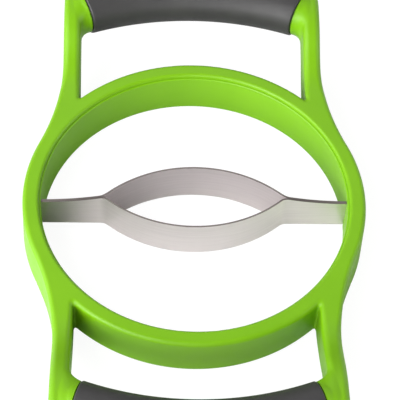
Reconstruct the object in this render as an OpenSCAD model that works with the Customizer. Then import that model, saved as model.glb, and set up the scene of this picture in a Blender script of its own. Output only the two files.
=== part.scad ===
// Mango splitter: a round frame with two raised handles and a lens-shaped stone blade.
// X runs along the blade, Y from handle to handle, Z up. The origin is under the middle
// of the ring, on the surface that the ring rests on.

/* [Ring] */
// Diameter of the fruit opening at the top of the ring
opening_d = 104.3; // [95:0.1:110]
// Outer diameter of the ring
ring_d = 116.4; // [112:0.2:126]
// Height of the ring
ring_h = 16.8; // [15:0.1:22]
// How much the radius of the opening shrinks from top to bottom
opening_draft = 0.1; // [0:0.05:1.5]

/* [Blade] */
// Thickness of one blade strip
strip_t = 0.6; // [0.4:0.1:0.8]
// Height of a blade strip at the lens
strip_h = 15.7; // [13:0.1:16]
// Height of a strip where it enters the ring
wing_h = 12.8; // [11:0.1:13]
// Gap between the cutting edges and the surface below
blade_lift = 0.6; // [0.4:0.1:2.5]
// Widest inside gap between the two strips
lens_gap = 23.8; // [16:0.2:30]
// Radius of the bowed part of each strip
lens_r = 45; // [38:0.5:60]

/* [Handles] */
// Distance between the middles of the two handle bars
bar_span = 176.4; // [170:0.2:190]
// Height of the middle of the bars above the surface below
bar_z = 18.8; // [16:0.1:22]
// Radius of the curve that each bar follows
bar_bend_r = 110; // [100:1:140]
// Distance between the outer sides of a pair of arms
arm_spread = 92.5; // [88:0.5:96]
// Thickness of one arm
arm_w = 6.1; // [5:0.1:7]
// Diameter of the soft grips
grip_d = 17.2; // [16.6:0.1:19]

/* [Hidden] */
$fn = 96;

// Small gap that keeps exact cuts clear of each other
eps = 0.01;

// Ring
ring_r = ring_d / 2;
open_r = opening_d / 2;
top_round = 1.5;         // rounding of the ring's outer top edge
foot_round = 0.6;        // rounding of its outer bottom edge
shell_t = 2.1;           // wall of the frame's hollow ring
deck_z = ring_h - 2.2;   // underside of the frame's top deck
lip_t = 0.6;             // lip of the blade ring that shows inside the deck
lip_drop = 1.5;          // how far that lip stays below the deck
lip_chamfer = 0.3;       // chamfer on the lip's inner edge
rim_round = 1;           // rounding of the deck's inner edge
seam_r = open_r + lip_t; // seam between the frame and the blade ring
liner_r = open_r + 1.9;  // outside of the blade ring's wall
channel_r = ring_r - shell_t;
floor_t = 2;             // flange that closes the frame's hollow from below

// Arms
arm_out = arm_spread / 2;
arm_mid = arm_out - arm_w / 2;
arm_in = arm_out - arm_w;
arm_h = 14;
arm_z = ring_h - arm_h / 2;
arm_start = 47;          // where the arms begin to rise
root_in = [41, 30];      // point inside the ring's wall where an arm's root begins
root_drop = 0.2;         // how far a root's flat top stays below the ring's deck
waist_r = 90;            // hollow curve from the ring into an arm's outer side
waist_y = sqrt(pow(ring_r + waist_r, 2) - pow(arm_out + waist_r, 2));
crotch_r = 1.0;          // small curve between the ring and an arm's inner side
crotch_y = sqrt(pow(ring_r + crotch_r, 2) - pow(arm_in - crotch_r, 2));

// Handle bars
bar_y = bar_span / 2;
grip_r = grip_d / 2;
collar_r = grip_r - 0.5;
core_r = 5.6;
key_r = core_r + 0.9;    // keys on the core that stop a grip from turning or sliding
key_angle = 1.2;
key_places = [-12, 0, 12];
corner_grow = 0.4;       // how far an arm stands proud of the round end at the corner
end_x = arm_out - collar_r - corner_grow / 2;
end_angle = asin(end_x / bar_bend_r);
end_y = bar_y - bar_bend_r * (1 - cos(end_angle));
arm_run = (end_y - arm_start) / 2;
arm_rise = (bar_z - arm_z) / 2;
rise_r = (pow(arm_run, 2) + pow(arm_rise, 2)) / (2 * arm_rise);
rise_angle = asin(arm_run / rise_r);
rise_steps = 10;         // flats in each half of an arm's S curve

// Blade
blade_top = blade_lift + strip_h;
edge_h = 0.6;            // height of the thinned cutting edge at the bottom
edge_t = 0.25;           // thickness that is left there
bend_steps = 8;          // flats in each bend
lens_steps = 36;         // flats in the bowed part
bend_r = 5;              // bend from the lens into a wing
lens_c = lens_gap / 2 - lens_r;
bend_x = sqrt(pow(lens_r + bend_r, 2) - pow(bend_r - lens_c, 2));
bend_angle = atan2(bend_x, bend_r - lens_c);
wing_x = open_r - 0.3;   // where a wing's top edge has come down to its lowest
wing_drop = strip_h - wing_h;
wing_run = 22;
wing_r = (pow(wing_run, 2) + pow(wing_drop, 2)) / (2 * wing_drop);
tab_lo = 4;
tab_hi = 12;
tab_x = channel_r - 0.3; // end of the tabs behind the blade ring's wall
slot_gap = 0.05;

// Pins and screws
pin_d = 1.5;
pin_len = 8;
pin_x = liner_r + 0.3;
pin_z = (tab_lo + tab_hi) / 2;
screw_x = 43.4;
screw_y = 37.8;
ear_r = 3.1;
boss_r = 2.5;
screw_d = 1.9;
pilot_d = 2;
screw_len = 9;
head_d = 4;
head_h = 1.2;
head_sink = 0.3;

// Copies its children to the four arm roots
module four_ways() {
    for (x = [0, 1], y = [0, 1]) mirror([x, 0, 0]) mirror([0, y, 0]) children();
}

// Inside of the fruit opening, narrowed towards the bottom, grown by a clearance
module opening_cone(grow = 0) {
    slope = opening_draft / ring_h;
    translate([0, 0, -1])
        cylinder(r1 = open_r - opening_draft - slope + grow, r2 = open_r + slope + grow, h = ring_h + 2);
}

// Solid ring with rounded outer edges, before it is hollowed
module ring_blank() {
    rotate_extrude() difference() {
        union() {
            translate([40, foot_round]) square([ring_r - 40, ring_h - top_round - foot_round]);
            translate([40, 0]) square([ring_r - foot_round - 40, foot_round + eps]);
            translate([40, ring_h - top_round - eps]) square([ring_r - top_round - 40, top_round + eps]);
            translate([ring_r - top_round, ring_h - top_round]) circle(top_round);
            translate([ring_r - foot_round, foot_round]) circle(foot_round);
        }
        translate([39, -1]) square([seam_r - 39, ring_h + 2]);
        difference() {
            translate([seam_r - 1, ring_h - rim_round]) square(rim_round + 1);
            translate([seam_r + rim_round, ring_h - rim_round]) circle(rim_round);
        }
    }
}

// Flat web where one arm grows out of the ring, with its hollow outer curve and its crotch
module arm_root() {
    waist_t = ring_r / (ring_r + waist_r);
    crotch_t = ring_r / (ring_r + crotch_r);
    linear_extrude(ring_h - root_drop) difference() {
        polygon([[arm_out - eps, waist_y], [arm_in + eps, waist_y], [arm_in + eps, crotch_y],
                 crotch_t * [arm_in - crotch_r, crotch_y], crotch_t * [arm_in - crotch_r, crotch_y] - [2, 6],
                 root_in, waist_t * [arm_out + waist_r, waist_y] - [3, 0],
                 waist_t * [arm_out + waist_r, waist_y]]);
        translate([arm_out + waist_r, waist_y]) circle(waist_r, $fn = 180);
        translate([arm_in - crotch_r, crotch_y]) circle(crotch_r);
    }
}

// Side view of an arm: level out of the ring, up in an S curve, round at the handle
function arm_line(side) = concat(
    [[root_in[1], arm_z + side]],
    [for (i = [0:rise_steps]) let (a = rise_angle * i / rise_steps)
        [arm_start + (rise_r - side) * sin(a), arm_z + rise_r - (rise_r - side) * cos(a)]],
    [for (i = [rise_steps - 1:-1:0]) let (a = rise_angle * i / rise_steps)
        [end_y - (rise_r + side) * sin(a), bar_z - rise_r + (rise_r + side) * cos(a)]]);

module arm_side() {
    top = arm_line(arm_h / 2);
    under = arm_line(-arm_h / 2);
    polygon(concat(top,
        [for (b = [15:15:165]) [end_y + arm_h / 2 * sin(b), bar_z + arm_h / 2 * cos(b)]],
        [for (i = [len(under) - 1:-1:0]) under[i]]));
}

// One arm, with its outer corner rounded to follow the end of the handle
module arm() {
    intersection() {
        translate([arm_in, 0, 0]) rotate([90, 0, 90]) linear_extrude(arm_w) arm_side();
        linear_extrude(2 * bar_z) {
            square([2 * arm_out, end_y]);
            translate([end_x, end_y]) circle(collar_r + corner_grow);
        }
    }
}

// Round bar along the handle's curve, from angle a0 to a1 off the middle
module bar_arc(r, a0, a1) {
    translate([0, bar_y - bar_bend_r, bar_z]) rotate([0, 0, 90 - a1])
        rotate_extrude(angle = a1 - a0, $fn = 180) translate([bar_bend_r, 0]) circle(r);
}

// Hidden core of a handle with the keys that the grip is moulded over
module bar_core() {
    bar_arc(core_r, -end_angle - 1, end_angle + 1);
    for (a = key_places) bar_arc(key_r, a - key_angle, a + key_angle);
}

// Rounded end of a handle, cut square where the grip butts against it
module collar() {
    translate([end_x, end_y, bar_z]) difference() {
        sphere(collar_r);
        rotate([0, 0, -end_angle]) translate([-2 * collar_r, -2 * collar_r, -2 * collar_r])
            cube([2 * collar_r, 4 * collar_r, 4 * collar_r]);
    }
}

module frame() {
    color("yellowgreen") difference() {
        union() {
            difference() {
                union() {
                    ring_blank();
                    four_ways() { arm_root(); arm(); }
                }
                translate([0, 0, -1]) cylinder(r = channel_r, h = deck_z + 1, $fn = 180);
                translate([0, 0, -1]) cylinder(r = seam_r, h = ring_h + 2, $fn = 180);
            }
            four_ways() {
                collar();
                translate([screw_x, screw_y, floor_t]) cylinder(r = boss_r, h = deck_z - floor_t + eps);
            }
            for (y = [0, 1]) mirror([0, y, 0]) bar_core();
        }
        four_ways() translate([screw_x, screw_y, 0]) {
            translate([0, 0, -1]) cylinder(r = ear_r, h = floor_t + 1);
            cylinder(d = pilot_d, h = head_sink + screw_len + 1);
        }
    }
}

// Wall and flange of the blade ring, with the ears that take the screws
module blade_ring() {
    color("olivedrab") difference() {
        union() {
            cylinder(r = channel_r, h = floor_t, $fn = 180);
            cylinder(r = liner_r, h = deck_z, $fn = 180);
            cylinder(r = seam_r, h = ring_h - lip_drop, $fn = 180);
            four_ways() translate([screw_x, screw_y, 0]) cylinder(r = ear_r, h = floor_t);
        }
        opening_cone();
        translate([0, 0, ring_h - lip_drop - lip_chamfer])
            cylinder(r1 = open_r, r2 = open_r + 2 * lip_chamfer, h = 2 * lip_chamfer);
        four_ways() translate([screw_x, screw_y, 0]) {
            translate([0, 0, -1]) cylinder(d = screw_d + 0.4, h = floor_t + 2);
            translate([0, 0, -1]) cylinder(d = head_d + 0.2, h = head_sink + 1);
            translate([0, 0, head_sink]) cylinder(d1 = head_d + 0.2, d2 = screw_d + 0.4, h = head_h);
        }
        for (x = [0, 1]) mirror([x, 0, 0]) {
            translate([open_r - 3, -strip_t - slot_gap, -1])
                cube([10, 2 * (strip_t + slot_gap), tab_hi + slot_gap + 1]);
            pin_bore(pin_d + 2 * slot_gap, pin_len + 0.4);
        }
    }
}

// Level bore or rod across the blade tabs, behind the blade ring's wall
module pin_bore(d, len) {
    translate([pin_x, len / 2, pin_z]) rotate([90, 0, 0]) cylinder(d = d, h = len);
}

// Points along a strip's side, from one wing over the bow to the other; grow moves it outwards
function strip_line(grow) = concat(
    [[-tab_x, grow]],
    [for (i = [bend_steps:-1:0]) let (a = bend_angle * (1 - i / bend_steps))
        [-bend_x + (bend_r - grow) * sin(a), bend_r - (bend_r - grow) * cos(a)]],
    [for (i = [1:lens_steps - 1]) let (a = bend_angle * (2 * i / lens_steps - 1))
        [(lens_r + grow) * sin(a), lens_c + (lens_r + grow) * cos(a)]],
    [for (i = [0:bend_steps]) let (a = bend_angle * (1 - i / bend_steps))
        [bend_x - (bend_r - grow) * sin(a), bend_r - (bend_r - grow) * cos(a)]],
    [[tab_x, grow]]);

// Upright band between two such lines
module band(thick, h) {
    inner = strip_line(0);
    outer = strip_line(thick);
    linear_extrude(h)
        polygon(concat(inner, [for (i = [len(outer) - 1:-1:0]) outer[i]]));
}

// One strip on the +Y side: bowed lens, two bends and two wings with tabs
module strip() {
    difference() {
        union() {
            translate([0, 0, blade_lift]) band(edge_t, edge_h + eps);
            translate([0, 0, blade_lift + edge_h]) band(strip_t, strip_h - edge_h);
        }
        for (x = [0, 1]) mirror([x, 0, 0]) {
            translate([wing_x, 20, blade_lift + wing_h + wing_r]) rotate([90, 0, 0])
                cylinder(r = wing_r, h = 40, $fn = 240);
            translate([wing_x, -5, blade_lift + wing_h]) cube([10, 10, strip_h]);
            pin_bore(pin_d + 2 * slot_gap, pin_len);
            difference() {
                translate([open_r - 5, -5, -1]) cube([10, 10, ring_h + 2]);
                opening_cone(-slot_gap);
                translate([open_r - 6, -6, tab_lo]) cube([12, 12, tab_hi - tab_lo]);
            }
        }
    }
}

module rear_blade() {
    color("silver") strip();
}

module front_blade() {
    color("silver") mirror([0, 1, 0]) strip();
}

module right_blade_pin() {
    color("gray") pin_bore(pin_d, pin_len);
}

module left_blade_pin() {
    color("gray") mirror([1, 0, 0]) pin_bore(pin_d, pin_len);
}

// Four countersunk screws, driven from below into the arm roots
module ring_screws() {
    color("gray") four_ways() translate([screw_x, screw_y, head_sink]) difference() {
        union() {
            cylinder(d1 = head_d, d2 = screw_d, h = head_h);
            cylinder(d = screw_d, h = screw_len);
        }
        for (a = [0, 90]) rotate([0, 0, a]) translate([-1.1, -0.25, -eps]) cube([2.2, 0.5, 0.7]);
    }
}

// Soft sleeve on the +Y handle
module grip() {
    difference() {
        bar_arc(grip_r, -end_angle, end_angle);
        bar_core();
    }
}

module rear_grip() {
    color("dimgray") grip();
}

module front_grip() {
    color("dimgray") mirror([0, 1, 0]) grip();
}

frame();
blade_ring();
front_blade();
rear_blade();
left_blade_pin();
right_blade_pin();
ring_screws();
front_grip();
rear_grip();
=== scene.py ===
"""Looks of the mango splitter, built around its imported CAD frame.

Lengths are millimetres in the CAD's own frame: X along the blade, Y from the front handle to the
rear one, Z up from the surface that the tool rests on. Meshes are scaled to metres when made.
The left half mirrors the right one. Front and rear differ only in the faces that the grips butt
against, so the lime moulding is contoured as a rear and a front quarter, each with its left copy.
"""

import math

import bpy
import numpy as np
from mathutils import Matrix, Vector


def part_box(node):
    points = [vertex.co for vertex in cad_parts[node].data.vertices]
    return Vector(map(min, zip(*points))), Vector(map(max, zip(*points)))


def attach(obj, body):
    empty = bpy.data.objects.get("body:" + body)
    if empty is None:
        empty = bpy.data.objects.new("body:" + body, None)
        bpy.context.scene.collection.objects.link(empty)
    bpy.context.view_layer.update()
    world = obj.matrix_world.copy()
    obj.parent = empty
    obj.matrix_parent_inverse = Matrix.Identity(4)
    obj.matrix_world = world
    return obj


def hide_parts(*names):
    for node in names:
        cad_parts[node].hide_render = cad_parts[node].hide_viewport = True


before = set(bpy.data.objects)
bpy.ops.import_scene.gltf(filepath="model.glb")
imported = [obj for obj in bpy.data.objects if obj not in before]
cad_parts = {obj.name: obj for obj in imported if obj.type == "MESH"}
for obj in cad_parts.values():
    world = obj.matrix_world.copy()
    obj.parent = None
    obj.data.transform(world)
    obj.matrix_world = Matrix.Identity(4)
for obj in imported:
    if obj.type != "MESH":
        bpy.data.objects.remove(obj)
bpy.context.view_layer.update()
MM = 0.001


def node_box(name):
    """Lowest and highest corner of a CAD node, in millimetres."""
    low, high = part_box(name)
    return np.array(low) / MM, np.array(high) / MM


# ---- Sizes, taken from the frame's boxes where it has them -----------------------------------
RING_HIGH = node_box("blade_ring")[1]
GRIP_LOW, GRIP_HIGH = node_box("rear_grip")
BLADE_HIGH = node_box("rear_blade")[1]
SCREW_HIGH = node_box("ring_screws")[1]

# Ring: height, outer wall and roundings, opening, and the seam to the blade ring inside it. The
# wall's lean changes with the sine of the angle from the blade's ends.
RING_H = 16.8
RING_R, WALL_DRAFT, WALL_FLARE = 58.2, 0.55, 0.8
FLARE_END, DRAFT_START = 0.4, 0.8
TOP_ROUND, FOOT_ROUND = 1.5, 0.6
OPEN_R, OPEN_DRAFT = 52.15, 0.1
SEAM_R, RIM_ROUND = OPEN_R + 0.6, 1.0
CHANNEL_R = RING_HIGH[0]
DECK_Z = RING_H - 2.2
FIT_GAP = 0.06

# Arms: outer side, thickness and height, where they start to climb, and the curves at their root
ARM_OUT, ARM_W, ARM_H = 46.25, 6.1, 14.0
ARM_IN = ARM_OUT - ARM_W
ARM_START = 47.0
WAIST_R, CROTCH_SOFT = 90.0, 1.3
WAIST_Y = math.sqrt((RING_R + WAIST_R) ** 2 - (ARM_OUT + WAIST_R) ** 2)
WAIST_T = RING_R / (RING_R + WAIST_R)
# Least X and Y of an arm, where its underside leaves the floor, and where its edges get softer
ROOT_FROM_X, ROOT_FROM_Y = 33.0, 30.0
HOLLOW_Y, HOLLOW_RUN = 38.0, 26.0
SOFTER_Y, SOFTER_RUN, SOFTER_TOP, SOFTER_FOOT = 42.0, 14.0, 0.7, 1.0
# Outline of the flare between an arm's root and the ring, seen from above
ROOT = [(ARM_OUT, WAIST_Y), (ARM_IN, WAIST_Y), (ARM_IN, 41.0), (38.0, 36.0), (44.0, 24.0),
        (WAIST_T * (ARM_OUT + WAIST_R), WAIST_T * WAIST_Y)]

# Handles: the bar inside the grip, the collar round its ends and the climb of the arms up to it
GRIP_R = (GRIP_HIGH[2] - GRIP_LOW[2]) / 2
BAR_Z = (GRIP_HIGH[2] + GRIP_LOW[2]) / 2
BAR_Y = GRIP_HIGH[1] - GRIP_R
BEND_R = 110.0
COLLAR_R = GRIP_R - 0.5
END_X = ARM_OUT - COLLAR_R - 0.2
END_A = math.asin(END_X / BEND_R)
END_Y = BAR_Y - BEND_R * (1 - math.cos(END_A))
# Rear and front: tilt and place of the face that the grip butts against, fillet inside its corner
FACES = {1: (math.radians(27), 1.85, 2.4), -1: (math.radians(16), 0.45, 4.0)}
RISE = BAR_Z - (RING_H - ARM_H / 2)
# Fillet between an arm and its collar: on the outer side, and extra on the inner side, which starts
# at CREASE_X. The fillet given in FACES is added there, up to CREASE_Z.
CREASE, CREASE_IN = 0.25, 0.8
CREASE_X, CREASE_RUN = 45.5, 5.0
CREASE_Z, CREASE_DROP = BAR_Z + 8, 3.0
# Space cut clear for the grip beyond the collar's face, and the neck of the bar that enters it
CLEAR_R = COLLAR_R + 5
NECK_R, NECK_BACK, NECK_T = COLLAR_R - 0.75, 0.6, 1.4
# Grip: how far each end stays short of the collar's face, rounding of the ends, sides round it
GRIP_SHORT, GRIP_ROLL, GRIP_SIDES = 0.35, 0.6, 64

# Screws: head radius, which gives their axes from their box; the boss round each, and the pocket
# for the blade ring's ear
HEAD_R = 2.0
SCREW_X, SCREW_Y = SCREW_HIGH[0] - HEAD_R, SCREW_HIGH[1] - HEAD_R
BOSS_R, BOSS_H, EAR_R, FLANGE_T = 4.3, 5.0, 3.16, 2.0

# Blade: strip thickness, bow and bends, heights of its edges, and the tab behind the ring's wall
STRIP_T, LENS_R, LENS_GAP, TURN_R = 0.6, 45.0, 23.8, 5.0
BLADE_Z, STRIP_H, WING_Z = 0.6, 15.7, 13.4
BEVEL, EDGE_T, TAB_BEVEL = 0.6, 0.12, 0.1
LENS_C = LENS_GAP / 2 - LENS_R
TURN_X = math.sqrt((LENS_R + TURN_R) ** 2 - (TURN_R - LENS_C) ** 2)
TURN_A = math.atan2(TURN_X, TURN_R - LENS_C)
TAB_LOW, TAB_HIGH, TAB_X = 4.0, 12.0, BLADE_HIGH[0]
# A strip's last station before the ring's leaning wall, the stretch there that its end is fitted
# over, and the gap that it leaves
WALL_X, WALL_RUN, WALL_GAP = OPEN_R - 0.4, 1.1, 0.05
# Hollow of a wing's top edge: an arc that drops from the bow's height towards the wall
WING_END, WING_RUN = OPEN_R - 0.3, 22.0
WING_DROP = BLADE_Z + STRIP_H - WING_Z
WING_CURVE = (WING_RUN ** 2 + WING_DROP ** 2) / (2 * WING_DROP)


# ---- Distance fields (negative inside) -------------------------------------------------------
def round_union(a, b, r):
    """Union of two fields with a round fillet of radius r where they meet."""
    return np.maximum(r, np.minimum(a, b)) - np.hypot(np.maximum(r - a, 0), np.maximum(r - b, 0))


def round_both(a, b, r):
    """Intersection of two fields with an edge rounded to radius r."""
    return np.minimum(-r, np.maximum(a, b)) + np.hypot(np.maximum(r + a, 0), np.maximum(r + b, 0))


def step(t):
    """Smooth step from 0 to 1 as t goes from 0 to 1."""
    t = np.clip(t, 0, 1)
    return t * t * (3 - 2 * t)


def polygon_distance(x, y, points):
    """Signed distance to a closed polygon in the XY plane."""
    best, side = np.inf, 1.0
    for (ax, ay), (bx, by) in zip(points, points[1:] + points[:1]):
        ex, ey = bx - ax, by - ay
        t = np.clip(((x - ax) * ex + (y - ay) * ey) / (ex * ex + ey * ey), 0, 1)
        best = np.minimum(best, np.hypot(x - ax - t * ex, y - ay - t * ey))
        crosses = ((ay > y) != (by > y)) & (x < (bx - ax) * (y - ay) / (by - ay + 1e-12) + ax)
        side = np.where(crosses, -side, side)
    return best * side


def arm_lift(y):
    """How far an arm has climbed at y, and the slope there."""
    span = END_Y - ARM_START
    t = np.clip((y - ARM_START) / span, 0, 1)
    lift = np.where(t < 0.5, 2 * t * t, 1 - 2 * (1 - t) ** 2) * RISE
    slope = np.where(t < 0.5, 4 * t, 4 * (1 - t)) * RISE / span
    return lift, slope


def wall_lean(y, r, z):
    """How far the ring's outer wall has leaned in at height z: at the front and the rear it leans in
    towards its foot, and beside the blade's ends it leans out a little."""
    inward = step((y / r - FLARE_END) / (DRAFT_START - FLARE_END))
    lean = WALL_DRAFT * ((1 + WALL_FLARE) * inward - WALL_FLARE)
    return lean * np.clip(1 - z / RING_H, 0, 1)


def arm_plan(x, y, ring, lean):
    """Outline of one arm with its blends into the ring, seen from above, for x > 0 and y > 0."""
    arm = np.maximum(np.hypot(x - END_X, np.maximum(y - END_Y, 0)) - (ARM_OUT - END_X), ARM_IN - x)
    arm = np.maximum(arm, ROOT_FROM_Y - y)
    lean = lean * step((WAIST_Y - y) / (WAIST_Y - WAIST_T * WAIST_Y))
    waist = WAIST_R + lean - np.hypot(x - ARM_OUT - WAIST_R, y - WAIST_Y)
    root = np.maximum(polygon_distance(x, y, ROOT), waist)
    return np.minimum(round_union(arm, ring, CROTCH_SOFT), root)


def bar_field(x, y, z, radius):
    """Round bar along the handle's curve with a ball at its end."""
    away = np.hypot(x, y - BAR_Y + BEND_R) - BEND_R
    tube = np.hypot(away, z - BAR_Z)
    ball = np.sqrt((x - END_X) ** 2 + (y - END_Y) ** 2 + (z - BAR_Z) ** 2)
    past = np.arctan2(x, y - BAR_Y + BEND_R) > END_A
    return np.where(past, ball, tube) - radius


def frame_field(x, y, z, face):
    """The whole lime moulding: ring with its hollow underside, arms, and the ends of the handles."""
    tilt, place, fillet = face
    x, y = np.abs(x), np.abs(y)
    r = np.hypot(x, y)
    lean = wall_lean(y, np.maximum(r, 1), z)
    ring = r - RING_R + lean
    over = z - RING_H
    hoop = round_both(round_both(ring, over, TOP_ROUND), -z, FOOT_ROUND)

    lift, slope = arm_lift(y)
    stretch = np.sqrt(1 + slope * slope)
    over = (over - lift) / stretch
    under = (lift + (RING_H - ARM_H) * step((y - HOLLOW_Y) / HOLLOW_RUN) - z) / stretch
    on_arm = step((y - SOFTER_Y) / SOFTER_RUN)
    arm = round_both(arm_plan(x, y, ring, lean), over, TOP_ROUND + SOFTER_TOP * on_arm)
    arm = round_both(arm, under, FOOT_ROUND + SOFTER_FOOT * on_arm)
    arm = np.maximum(arm, ROOT_FROM_X - x)

    collar = bar_field(x, y, z, COLLAR_R)
    inward = step((CREASE_X - x) / CREASE_RUN)
    inner = CREASE_IN + fillet * step((CREASE_Z - z) / CREASE_DROP)
    arm = round_union(arm, collar, CREASE + inner * inward)
    facing = (x - END_X) * math.cos(tilt) - (y - END_Y) * math.sin(tilt) - place
    arm = np.maximum(arm, -np.maximum(facing, bar_field(x, y, z, CLEAR_R)))
    neck = np.maximum(bar_field(x, y, z, NECK_R), np.abs(facing + NECK_BACK) - NECK_T)

    screw = np.hypot(x - SCREW_X, y - SCREW_Y)
    boss = np.maximum(screw - BOSS_R, np.maximum(-z, z - BOSS_H))
    body = np.minimum(np.minimum(hoop, arm), np.minimum(neck, boss))
    body = round_both(body, SEAM_R - r, RIM_ROUND)
    hollow = np.minimum(r - SEAM_R, np.maximum(r - CHANNEL_R - FIT_GAP, z - DECK_Z))
    pocket = np.maximum(screw - EAR_R, z - FLANGE_T - FIT_GAP)
    return np.maximum(body, -np.minimum(hollow, pocket))


# ---- Meshes ----------------------------------------------------------------------------------
def gradient(field, p, h=0.02):
    """Slope of a field at some points, by central differences."""
    g = np.empty_like(p)
    for i in range(3):
        d = np.zeros(3)
        d[i] = h
        g[:, i] = (field(*(p + d).T) - field(*(p - d).T)) / (2 * h)
    return g


def unit(v):
    """Rows of v scaled to length 1."""
    return v / np.maximum(np.linalg.norm(v, axis=1, keepdims=True), 1e-9)


def contour_quarter(field, size, z_low, z_high, h):
    """Dual contouring of a field that is symmetric in X and Y, over the quarter from the axes out
    to size. Cells of the first row straddle the symmetry planes. Returns points and quads."""
    n = [int(math.ceil(size[0] / h)) + 2, int(math.ceil(size[1] / h)) + 2,
         int(math.ceil((z_high - z_low) / h)) + 1]
    start = np.array([-h / 2, -h / 2, z_low])
    axes = [start[i] + h * np.arange(n[i] + 1) for i in range(3)]
    grid = field(axes[0][:, None, None], axes[1][None, :, None], axes[2][None, None, :])
    inside = grid < 0
    count = n[0] * n[1] * n[2]
    mass, tally = np.zeros((count, 3)), np.zeros(count)
    ata, atb = np.zeros((count, 3, 3)), np.zeros((count, 3))
    quads = []
    for a in range(3):
        lo, hi = [slice(None)] * 3, [slice(None)] * 3
        lo[a], hi[a] = slice(0, -1), slice(1, None)
        change = inside[tuple(lo)] != inside[tuple(hi)]
        at = np.argwhere(change)
        f0, f1 = grid[tuple(lo)][change], grid[tuple(hi)][change]
        p0 = np.stack([axes[i][at[:, i]] for i in range(3)], 1)
        t0, t1 = np.zeros(len(at)), np.ones(len(at))
        s0, t = f0.copy(), f0 / (f0 - f1)
        for _ in range(6):  # closes in on the surface along each edge of the grid
            p = p0.copy()
            p[:, a] += t * h
            f = field(*p.T)
            same = (f < 0) == (s0 < 0)
            t0, t1 = np.where(same, t, t0), np.where(same, t1, t)
            f0, f1 = np.where(same, f, f0), np.where(same, f1, f)
            t = np.clip(f0 / np.where(f0 == f1, 1, f0 - f1), 0.02, 0.98) * (t1 - t0) + t0
        p = p0.copy()
        p[:, a] += t * h
        normal = unit(gradient(field, p))
        b, c = (a + 1) % 3, (a + 2) % 3
        cells = []
        for db, dc in ((-1, -1), (0, -1), (0, 0), (-1, 0)):
            cell = at.copy()
            cell[:, b] += db
            cell[:, c] += dc
            ok = np.all((cell >= 0) & (cell < n), axis=1)
            flat = np.where(ok, (cell[:, 0] * n[1] + cell[:, 1]) * n[2] + cell[:, 2], -1)
            cells.append(flat)
            f, q, m = flat[ok], p[ok], normal[ok]
            np.add.at(mass, f, q)
            np.add.at(tally, f, 1)
            np.add.at(ata, f, m[:, :, None] * m[:, None, :])
            np.add.at(atb, f, m * np.sum(m * q, axis=1, keepdims=True))
        quad = np.stack(cells, 1)
        flip = ~inside[tuple(lo)][change]
        quad[flip] = quad[flip][:, ::-1]
        quads.append(quad[np.all(quad >= 0, axis=1)])
    used = np.flatnonzero(tally)
    middle = mass[used] / tally[used][:, None]
    pull = 0.02 * tally[used][:, None, None] * np.eye(3)  # holds a point near its cell's middle
    side = atb[used] - np.einsum("nij,nj->ni", ata[used], middle)
    point = middle + np.linalg.solve(ata[used] + pull, side[:, :, None])[:, :, 0]
    cell = np.stack([used // (n[1] * n[2]), used // n[2] % n[1], used % n[2]], 1)
    low = start + h * cell
    point = np.clip(point, low, low + h)
    point[cell[:, 0] == 0, 0] = 0
    point[cell[:, 1] == 0, 1] = 0
    index = np.full(count, -1)
    index[used] = np.arange(len(used))
    quads = index[np.concatenate(quads)]
    flat_x = np.all(cell[quads][:, :, 0] == 0, axis=1)
    flat_y = np.all(cell[quads][:, :, 1] == 0, axis=1)
    return point, quads[~(flat_x | flat_y)]


def corner_normals(field, point, quads):
    """A normal for each corner of each face, read from the field just inside that face."""
    middle = point[quads].mean(axis=1)
    near = 0.7 * point[quads] + 0.3 * middle[:, None, :]
    return unit(gradient(field, near.reshape(-1, 3))).reshape(len(quads), 4, 3)


def mesh_object(name, points, faces, normals=None):
    """A mesh piece in metres from millimetre points, with optional corner normals."""
    mesh = bpy.data.meshes.new(name)
    mesh.from_pydata((np.asarray(points) * MM).tolist(), [], [list(map(int, f)) for f in faces])
    mesh.update()
    mesh.polygons.foreach_set("use_smooth", np.ones(len(mesh.polygons), bool))
    if normals is not None:
        mesh.normals_split_custom_set([Vector(n) for n in np.asarray(normals).reshape(-1, 3)])
    piece = bpy.data.objects.new(name, mesh)
    bpy.context.scene.collection.objects.link(piece)
    return piece


def build_frame():
    """The lime moulding: a rear and a front quarter, each with its left copy, welded where they meet."""
    h = 0.6
    size, z_low, z_high = (RING_R + 1, BAR_Y + COLLAR_R + 1), -0.9, BAR_Z + COLLAR_R + 1
    points, faces, corners, base = [], [], [], 0
    for sy, face in FACES.items():
        def field(x, y, z):
            return frame_field(x, y, z, face)
        point, quads = contour_quarter(field, size, z_low, z_high, h)
        normals = corner_normals(field, point, quads)
        for sx in (1, -1):
            s = np.array([sx, sy, 1.0])
            turn = slice(None, None, -1) if sx * sy < 0 else slice(None)
            points.append(point * s)
            faces.append(quads[:, turn] + base)
            corners.append((normals * s)[:, turn])
            base += len(point)
    points, faces, corners = np.concatenate(points), np.concatenate(faces), np.concatenate(corners)
    _, first, back = np.unique(np.round(points, 5) + 0.0, axis=0, return_index=True, return_inverse=True)
    return mesh_object("lime_frame", points[first], back.reshape(-1)[faces], corners)


def swept(name, rings):
    """Skin over a list of closed rings of points; the first and last ring are capped."""
    rings = [np.asarray(r, float) for r in rings]
    k = len(rings[0])
    faces = []
    for i in range(len(rings) - 1):
        for j in range(k):
            a, b = i * k + j, i * k + (j + 1) % k
            faces.append((a, b, b + k, a + k))
    faces.append(tuple(range(k))[::-1])
    faces.append(tuple((len(rings) - 1) * k + j for j in range(k)))
    return mesh_object(name, np.concatenate(rings), faces)


def sharpen(piece, degrees):
    """Marks edges steeper than an angle as sharp, so flat faces shade flat."""
    piece.data.set_sharp_from_angle(angle=math.radians(degrees))
    return piece


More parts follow.
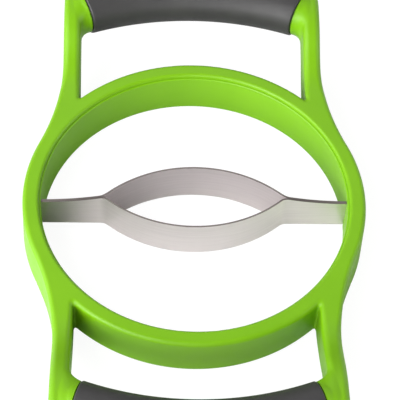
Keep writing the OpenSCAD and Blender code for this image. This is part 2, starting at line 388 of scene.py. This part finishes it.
def build_grip(name, side):
    """Soft sleeve over one handle, with rolled ends that lie flat against the tilted faces."""
    tilt, place, _ = FACES[side]
    length = 2 * (BEND_R * END_A + place - GRIP_SHORT)
    rolled = [(GRIP_ROLL * (1 - math.cos(t)), -GRIP_ROLL * (1 - math.sin(t)))
              for t in np.linspace(0, math.pi / 2, 7)]
    inner = [(s, 0.0) for s in np.linspace(GRIP_ROLL, length - GRIP_ROLL, 61)[1:-1]]
    stations = rolled + inner + [(length - s, d) for s, d in rolled[::-1]]
    rings = []
    for s, d in stations:
        a = (s - length / 2) / BEND_R
        radius = GRIP_R + d
        centre = np.array([BEND_R * math.sin(a), BAR_Y - BEND_R + BEND_R * math.cos(a), BAR_Z])
        turn = a * tilt / END_A
        out = np.array([math.sin(turn), math.cos(turn), 0])
        ring = []
        for j in range(GRIP_SIDES):
            b = 2 * math.pi * j / GRIP_SIDES
            spoke = math.cos(b) * out + np.array([0, 0, math.sin(b)])
            ring.append((centre + radius * spoke) * [1, side, 1])
        rings.append(ring if side > 0 else ring[::-1])
    return sharpen(swept(name, rings), 50)


def cone_r(z):
    """Where a strip's full height ends, just short of the blade ring's inner wall, at height z."""
    return OPEN_R - OPEN_DRAFT * (1 - z / RING_H) - WALL_GAP


def strip_path():
    """Stations along a strip from the middle to one end: place, outward direction, and which part."""
    path = []
    for a in np.linspace(0, TURN_A, 40)[:-1]:
        path.append(((LENS_R * math.sin(a), LENS_C + LENS_R * math.cos(a)),
                     (math.sin(a), math.cos(a)), "bow"))
    for a in np.linspace(TURN_A, 0, 14)[:-1]:
        path.append(((TURN_X - TURN_R * math.sin(a), TURN_R - TURN_R * math.cos(a)),
                     (math.sin(a), math.cos(a)), "bow"))
    for x in np.linspace(TURN_X, WALL_X, 24):
        path.append(((x, 0.0), (0.0, 1.0), "wing"))
    path.append(((WALL_X, 0.0), (0.0, 1.0), "step"))
    path.append(((TAB_X, 0.0), (0.0, 1.0), "tab"))
    return path


def top_edge(x):
    """Height of a strip's top edge: level over the bow, hollow over the wing."""
    away = WING_END - x
    if away >= WING_RUN:
        return BLADE_Z + STRIP_H
    return WING_Z + WING_CURVE - math.sqrt(WING_CURVE ** 2 - max(away, 0) ** 2)


def build_blade(name, side):
    """One thin strip: bowed lens, two bends, two wings and the tabs behind the blade ring's wall."""
    half = []
    for (x, y), (nx, ny), part in strip_path():
        if part in ("bow", "wing"):
            z_low, z_top = BLADE_Z, min(top_edge(x), BLADE_Z + STRIP_H)
            bevel, low_t = BEVEL, EDGE_T
        else:
            z_low, z_top = TAB_LOW, TAB_HIGH
            bevel, low_t = TAB_BEVEL, STRIP_T - TAB_BEVEL
        section = [(0, z_low), (low_t, z_low), (STRIP_T, z_low + bevel), (STRIP_T, z_top), (0, z_top)]
        ring = []
        for t, z in section:
            px = x
            if part == "wing" and x > WALL_X - WALL_RUN:
                px = x + (cone_r(z) - WALL_X) * (x - (WALL_X - WALL_RUN)) / WALL_RUN
            if part == "step":
                px = cone_r(z)
            ring.append((px + nx * t, y + ny * t, z))
        half.append(np.array(ring))
    other = [r * [-1, 1, 1] for r in half[:0:-1]]
    rings = [r * [1, side, 1] for r in other + half]
    if side < 0:
        rings = [r[::-1] for r in rings]
    piece = sharpen(swept(name, rings), 25)
    top = 3 if side > 0 else 0  # which of a ring's five faces is the top edge, which gets the steel painted dark as shade
    for i in range(top, len(piece.data.polygons) - 2, 5):
        piece.data.polygons[i].material_index = 1
    return piece


# ---- Materials -------------------------------------------------------------------------------
# Nearly all of a noise's values lie between these
NOISE_LOW, NOISE_HIGH = 0.3, 0.7


def srgb(r, g, b):
    """Scene-linear colour with alpha from 8-bit display values."""
    def line(c):
        c /= 255
        return c / 12.92 if c <= 0.04045 else ((c + 0.055) / 1.055) ** 2.4
    return (line(r), line(g), line(b), 1.0)


def material(name, colour, roughness, **sockets):
    """A material and its Principled shader."""
    m = bpy.data.materials.new(name)
    m.use_nodes = True
    shader = m.node_tree.nodes["Principled BSDF"]
    shader.inputs["Base Color"].default_value = colour
    shader.inputs["Roughness"].default_value = roughness
    for key, value in sockets.items():
        shader.inputs[key.replace("_", " ")].default_value = value
    return m, shader


def add_noise(m, scale, detail, stretch=(1, 1, 1)):
    """Noise fixed to the piece, as the output that other helpers use."""
    nodes, links = m.node_tree.nodes, m.node_tree.links
    place = nodes.new("ShaderNodeTexCoord")
    mapping = nodes.new("ShaderNodeMapping")
    mapping.inputs["Scale"].default_value = stretch
    noise = nodes.new("ShaderNodeTexNoise")
    noise.inputs["Scale"].default_value = scale
    noise.inputs["Detail"].default_value = detail
    links.new(place.outputs["Object"], mapping.inputs["Vector"])
    links.new(mapping.outputs["Vector"], noise.inputs["Vector"])
    return noise.outputs["Fac"]


def vary(m, shader, socket, source, low, high):
    """Drives a socket between two values by a noise."""
    spread = m.node_tree.nodes.new("ShaderNodeMapRange")
    spread.inputs["From Min"].default_value = NOISE_LOW
    spread.inputs["From Max"].default_value = NOISE_HIGH
    spread.inputs["To Min"].default_value = low
    spread.inputs["To Max"].default_value = high
    m.node_tree.links.new(source, spread.inputs["Value"])
    m.node_tree.links.new(spread.outputs["Result"], shader.inputs[socket])


def tint(m, shader, source, dark, light):
    """Drives the base colour between two colours by a noise."""
    ramp = m.node_tree.nodes.new("ShaderNodeValToRGB")
    first, last = ramp.color_ramp.elements
    first.position, first.color = NOISE_LOW, dark
    last.position, last.color = NOISE_HIGH, light
    m.node_tree.links.new(source, ramp.inputs["Fac"])
    m.node_tree.links.new(ramp.outputs["Color"], shader.inputs["Base Color"])


def bump(m, shader, source, depth, strength):
    """Fine relief from a noise."""
    node = m.node_tree.nodes.new("ShaderNodeBump")
    node.inputs["Distance"].default_value = depth
    node.inputs["Strength"].default_value = strength
    m.node_tree.links.new(source, node.inputs["Height"])
    m.node_tree.links.new(node.outputs["Normal"], shader.inputs["Normal"])


def lime_material(name):
    """Moulded plastic with a faint mottle and a slightly uneven gloss."""
    m, shader = material(name, srgb(108, 162, 9), 0.4, Specular_IOR_Level=0.3)
    tint(m, shader, add_noise(m, 60, 3), srgb(106, 160, 8), srgb(110, 164, 10))
    vary(m, shader, "Roughness", add_noise(m, 220, 2), 0.37, 0.43)
    return m


def steel_material(name, stretch, base):
    """Steel with a faint grain along the strip and a slightly uneven gloss."""
    m, shader = material(name, base, 0.38, Metallic=1.0)
    dark, light = tuple(0.965 * c for c in base), tuple(1.035 * c for c in base)
    tint(m, shader, add_noise(m, 400, 3, (0.12, 0.3, 3)), dark, light)
    vary(m, shader, "Roughness", add_noise(m, 400, 2, stretch), 0.36, 0.41)
    return m


def rubber_material(name):
    """Soft matt rubber with a fine grain."""
    m, shader = material(name, srgb(48, 47, 47), 0.52)
    tint(m, shader, add_noise(m, 90, 3), srgb(46, 45, 46), srgb(50, 49, 49))
    vary(m, shader, "Roughness", add_noise(m, 300, 3), 0.46, 0.58)
    bump(m, shader, add_noise(m, 2600, 2), 0.00006, 0.35)
    return m


LIME = lime_material("lime_plastic")
STEEL = steel_material("strip_steel", (1, 1, 0.05), (0.74, 0.69, 0.69, 1))
# The strips' top edges get a dark steel: painted shade that stands in for the dark reflection these thin
# edges show.
EDGE_SHADE_STEEL = steel_material("strip_top_edge_painted_shade", (1, 1, 1), (0.23, 0.20, 0.19, 1))
PIN_STEEL = steel_material("pin_and_screw_steel", (1, 1, 0.2), (0.60, 0.585, 0.58, 1))
RUBBER = rubber_material("grip_rubber")


def finish_piece(piece, node, slot, *mats):
    """Gives a piece its materials and puts it in the place of its CAD node."""
    for mat in mats:
        piece.data.materials.append(mat)
    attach(piece, "root")
    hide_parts(node)


finish_piece(build_frame(), "frame", "frame_plastic", LIME)
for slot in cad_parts["blade_ring"].material_slots:
    slot.material = LIME
finish_piece(build_blade("steel_rear_blade", 1), "rear_blade", "blade_steel", STEEL, EDGE_SHADE_STEEL)
finish_piece(build_blade("steel_front_blade", -1), "front_blade", "blade_steel", STEEL, EDGE_SHADE_STEEL)
finish_piece(build_grip("soft_rear_grip", 1), "rear_grip", "grip_rubber", RUBBER)
finish_piece(build_grip("soft_front_grip", -1), "front_grip", "grip_rubber", RUBBER)
for node in ("left_blade_pin", "right_blade_pin", "ring_screws"):
    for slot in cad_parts[node].material_slots:
        slot.material = PIN_STEEL

# ---- Floor, light and camera -----------------------------------------------------------------
scene = bpy.context.scene
scene.view_settings.view_transform = "Standard"


def ground(name, z, mat):
    """A level sheet of 6 m that is part of the studio, not of the tool."""
    reach = 3.0
    mesh = bpy.data.meshes.new(name)
    corners = [(-reach, -reach, z), (reach, -reach, z), (reach, reach, z), (-reach, reach, z)]
    mesh.from_pydata(corners, [], [(0, 1, 2, 3)])
    mesh.materials.append(mat)
    sheet = bpy.data.objects.new(name, mesh)
    scene.collection.objects.link(sheet)
    return sheet


# The table that lights and mirrors in the tool is plain and matt. The sheet that the camera sees
# on it glows a little, so the background stays white and keeps only a faint contact shadow.
table_mat, table_shader = material("table_white", (0.72, 0.72, 0.72, 1), 0.9)
table_shader.inputs["Specular IOR Level"].default_value = 0.0
table = ground("table", -0.0002, table_mat)
table.visible_camera = False
paper_mat, paper_shader = material("paper_white", (0.12, 0.12, 0.12, 1), 0.9)
paper_shader.inputs["Specular IOR Level"].default_value = 0.0
paper_shader.inputs["Emission Color"].default_value = (1, 1, 1, 1)
paper_shader.inputs["Emission Strength"].default_value = 0.93
paper = ground("floor", 0.0, paper_mat)
paper.visible_diffuse = paper.visible_glossy = False
paper.visible_transmission = paper.visible_shadow = False

world = bpy.data.worlds.new("studio")
scene.world = world
world.use_nodes = True
world.node_tree.nodes["Background"].inputs["Color"].default_value = (1, 1, 1, 1)
world.node_tree.nodes["Background"].inputs["Strength"].default_value = 0.11


def softbox_at(name, azimuth, elevation, power):
    """A square softbox aimed at the tool; azimuth 0 is in front of the tool and 90 is to its left."""
    away, size = 1.1, 0.6
    a, e = math.radians(azimuth), math.radians(elevation)
    light = bpy.data.lights.new(name, "AREA")
    light.shape, light.size, light.size_y = "RECTANGLE", size, size
    light.energy = power
    ob = bpy.data.objects.new(name, light)
    place = Vector((-math.sin(a) * math.cos(e), -math.cos(a) * math.cos(e), math.sin(e))) * away
    ob.location = place
    ob.rotation_euler = (-place).to_track_quat("-Z", "Y").to_euler()
    scene.collection.objects.link(ob)


softbox_at("front_low", 10, 18, 5.5)
softbox_at("front_left_low", 48, 18, 12.5)
softbox_at("left_low", 90, 18, 5.0)
softbox_at("rear_left_low", 135, 18, 1.3)
softbox_at("rear_right_low", 225, 18, 1.7)
softbox_at("right_low", 270, 18, 3.6)
softbox_at("front_left_high", 45, 48, 6.0)
softbox_at("left_high", 90, 48, 4.0)
softbox_at("rear_high", 180, 48, 1.6)
softbox_at("right_high", 270, 48, 1.4)

# Camera: direction and roll in degrees, distance and focal length in millimetres
AZ, EL, ROLL = math.radians(-4.042), math.radians(54.85), math.radians(3.718)
DIST, LENS = 562.23, 144.3
TARGET = Vector((2.549, 9.76, 0.5))
back = Vector((math.sin(AZ) * math.cos(EL), -math.cos(AZ) * math.cos(EL), math.sin(EL)))
right = Vector((math.cos(AZ), math.sin(AZ), 0))
up = back.cross(right)
cam_x = right * math.cos(ROLL) + up * math.sin(ROLL)
cam_y = -right * math.sin(ROLL) + up * math.cos(ROLL)
camera = bpy.data.objects.new("camera", bpy.data.cameras.new("camera"))
camera.data.sensor_width, camera.data.lens = 36.0, LENS
camera.data.clip_start, camera.data.clip_end = 0.01, 10
turn = Matrix((cam_x, cam_y, back)).transposed().to_4x4()
camera.matrix_world = Matrix.Translation((TARGET + back * DIST) * MM) @ turn
scene.collection.objects.link(camera)
scene.camera = camera
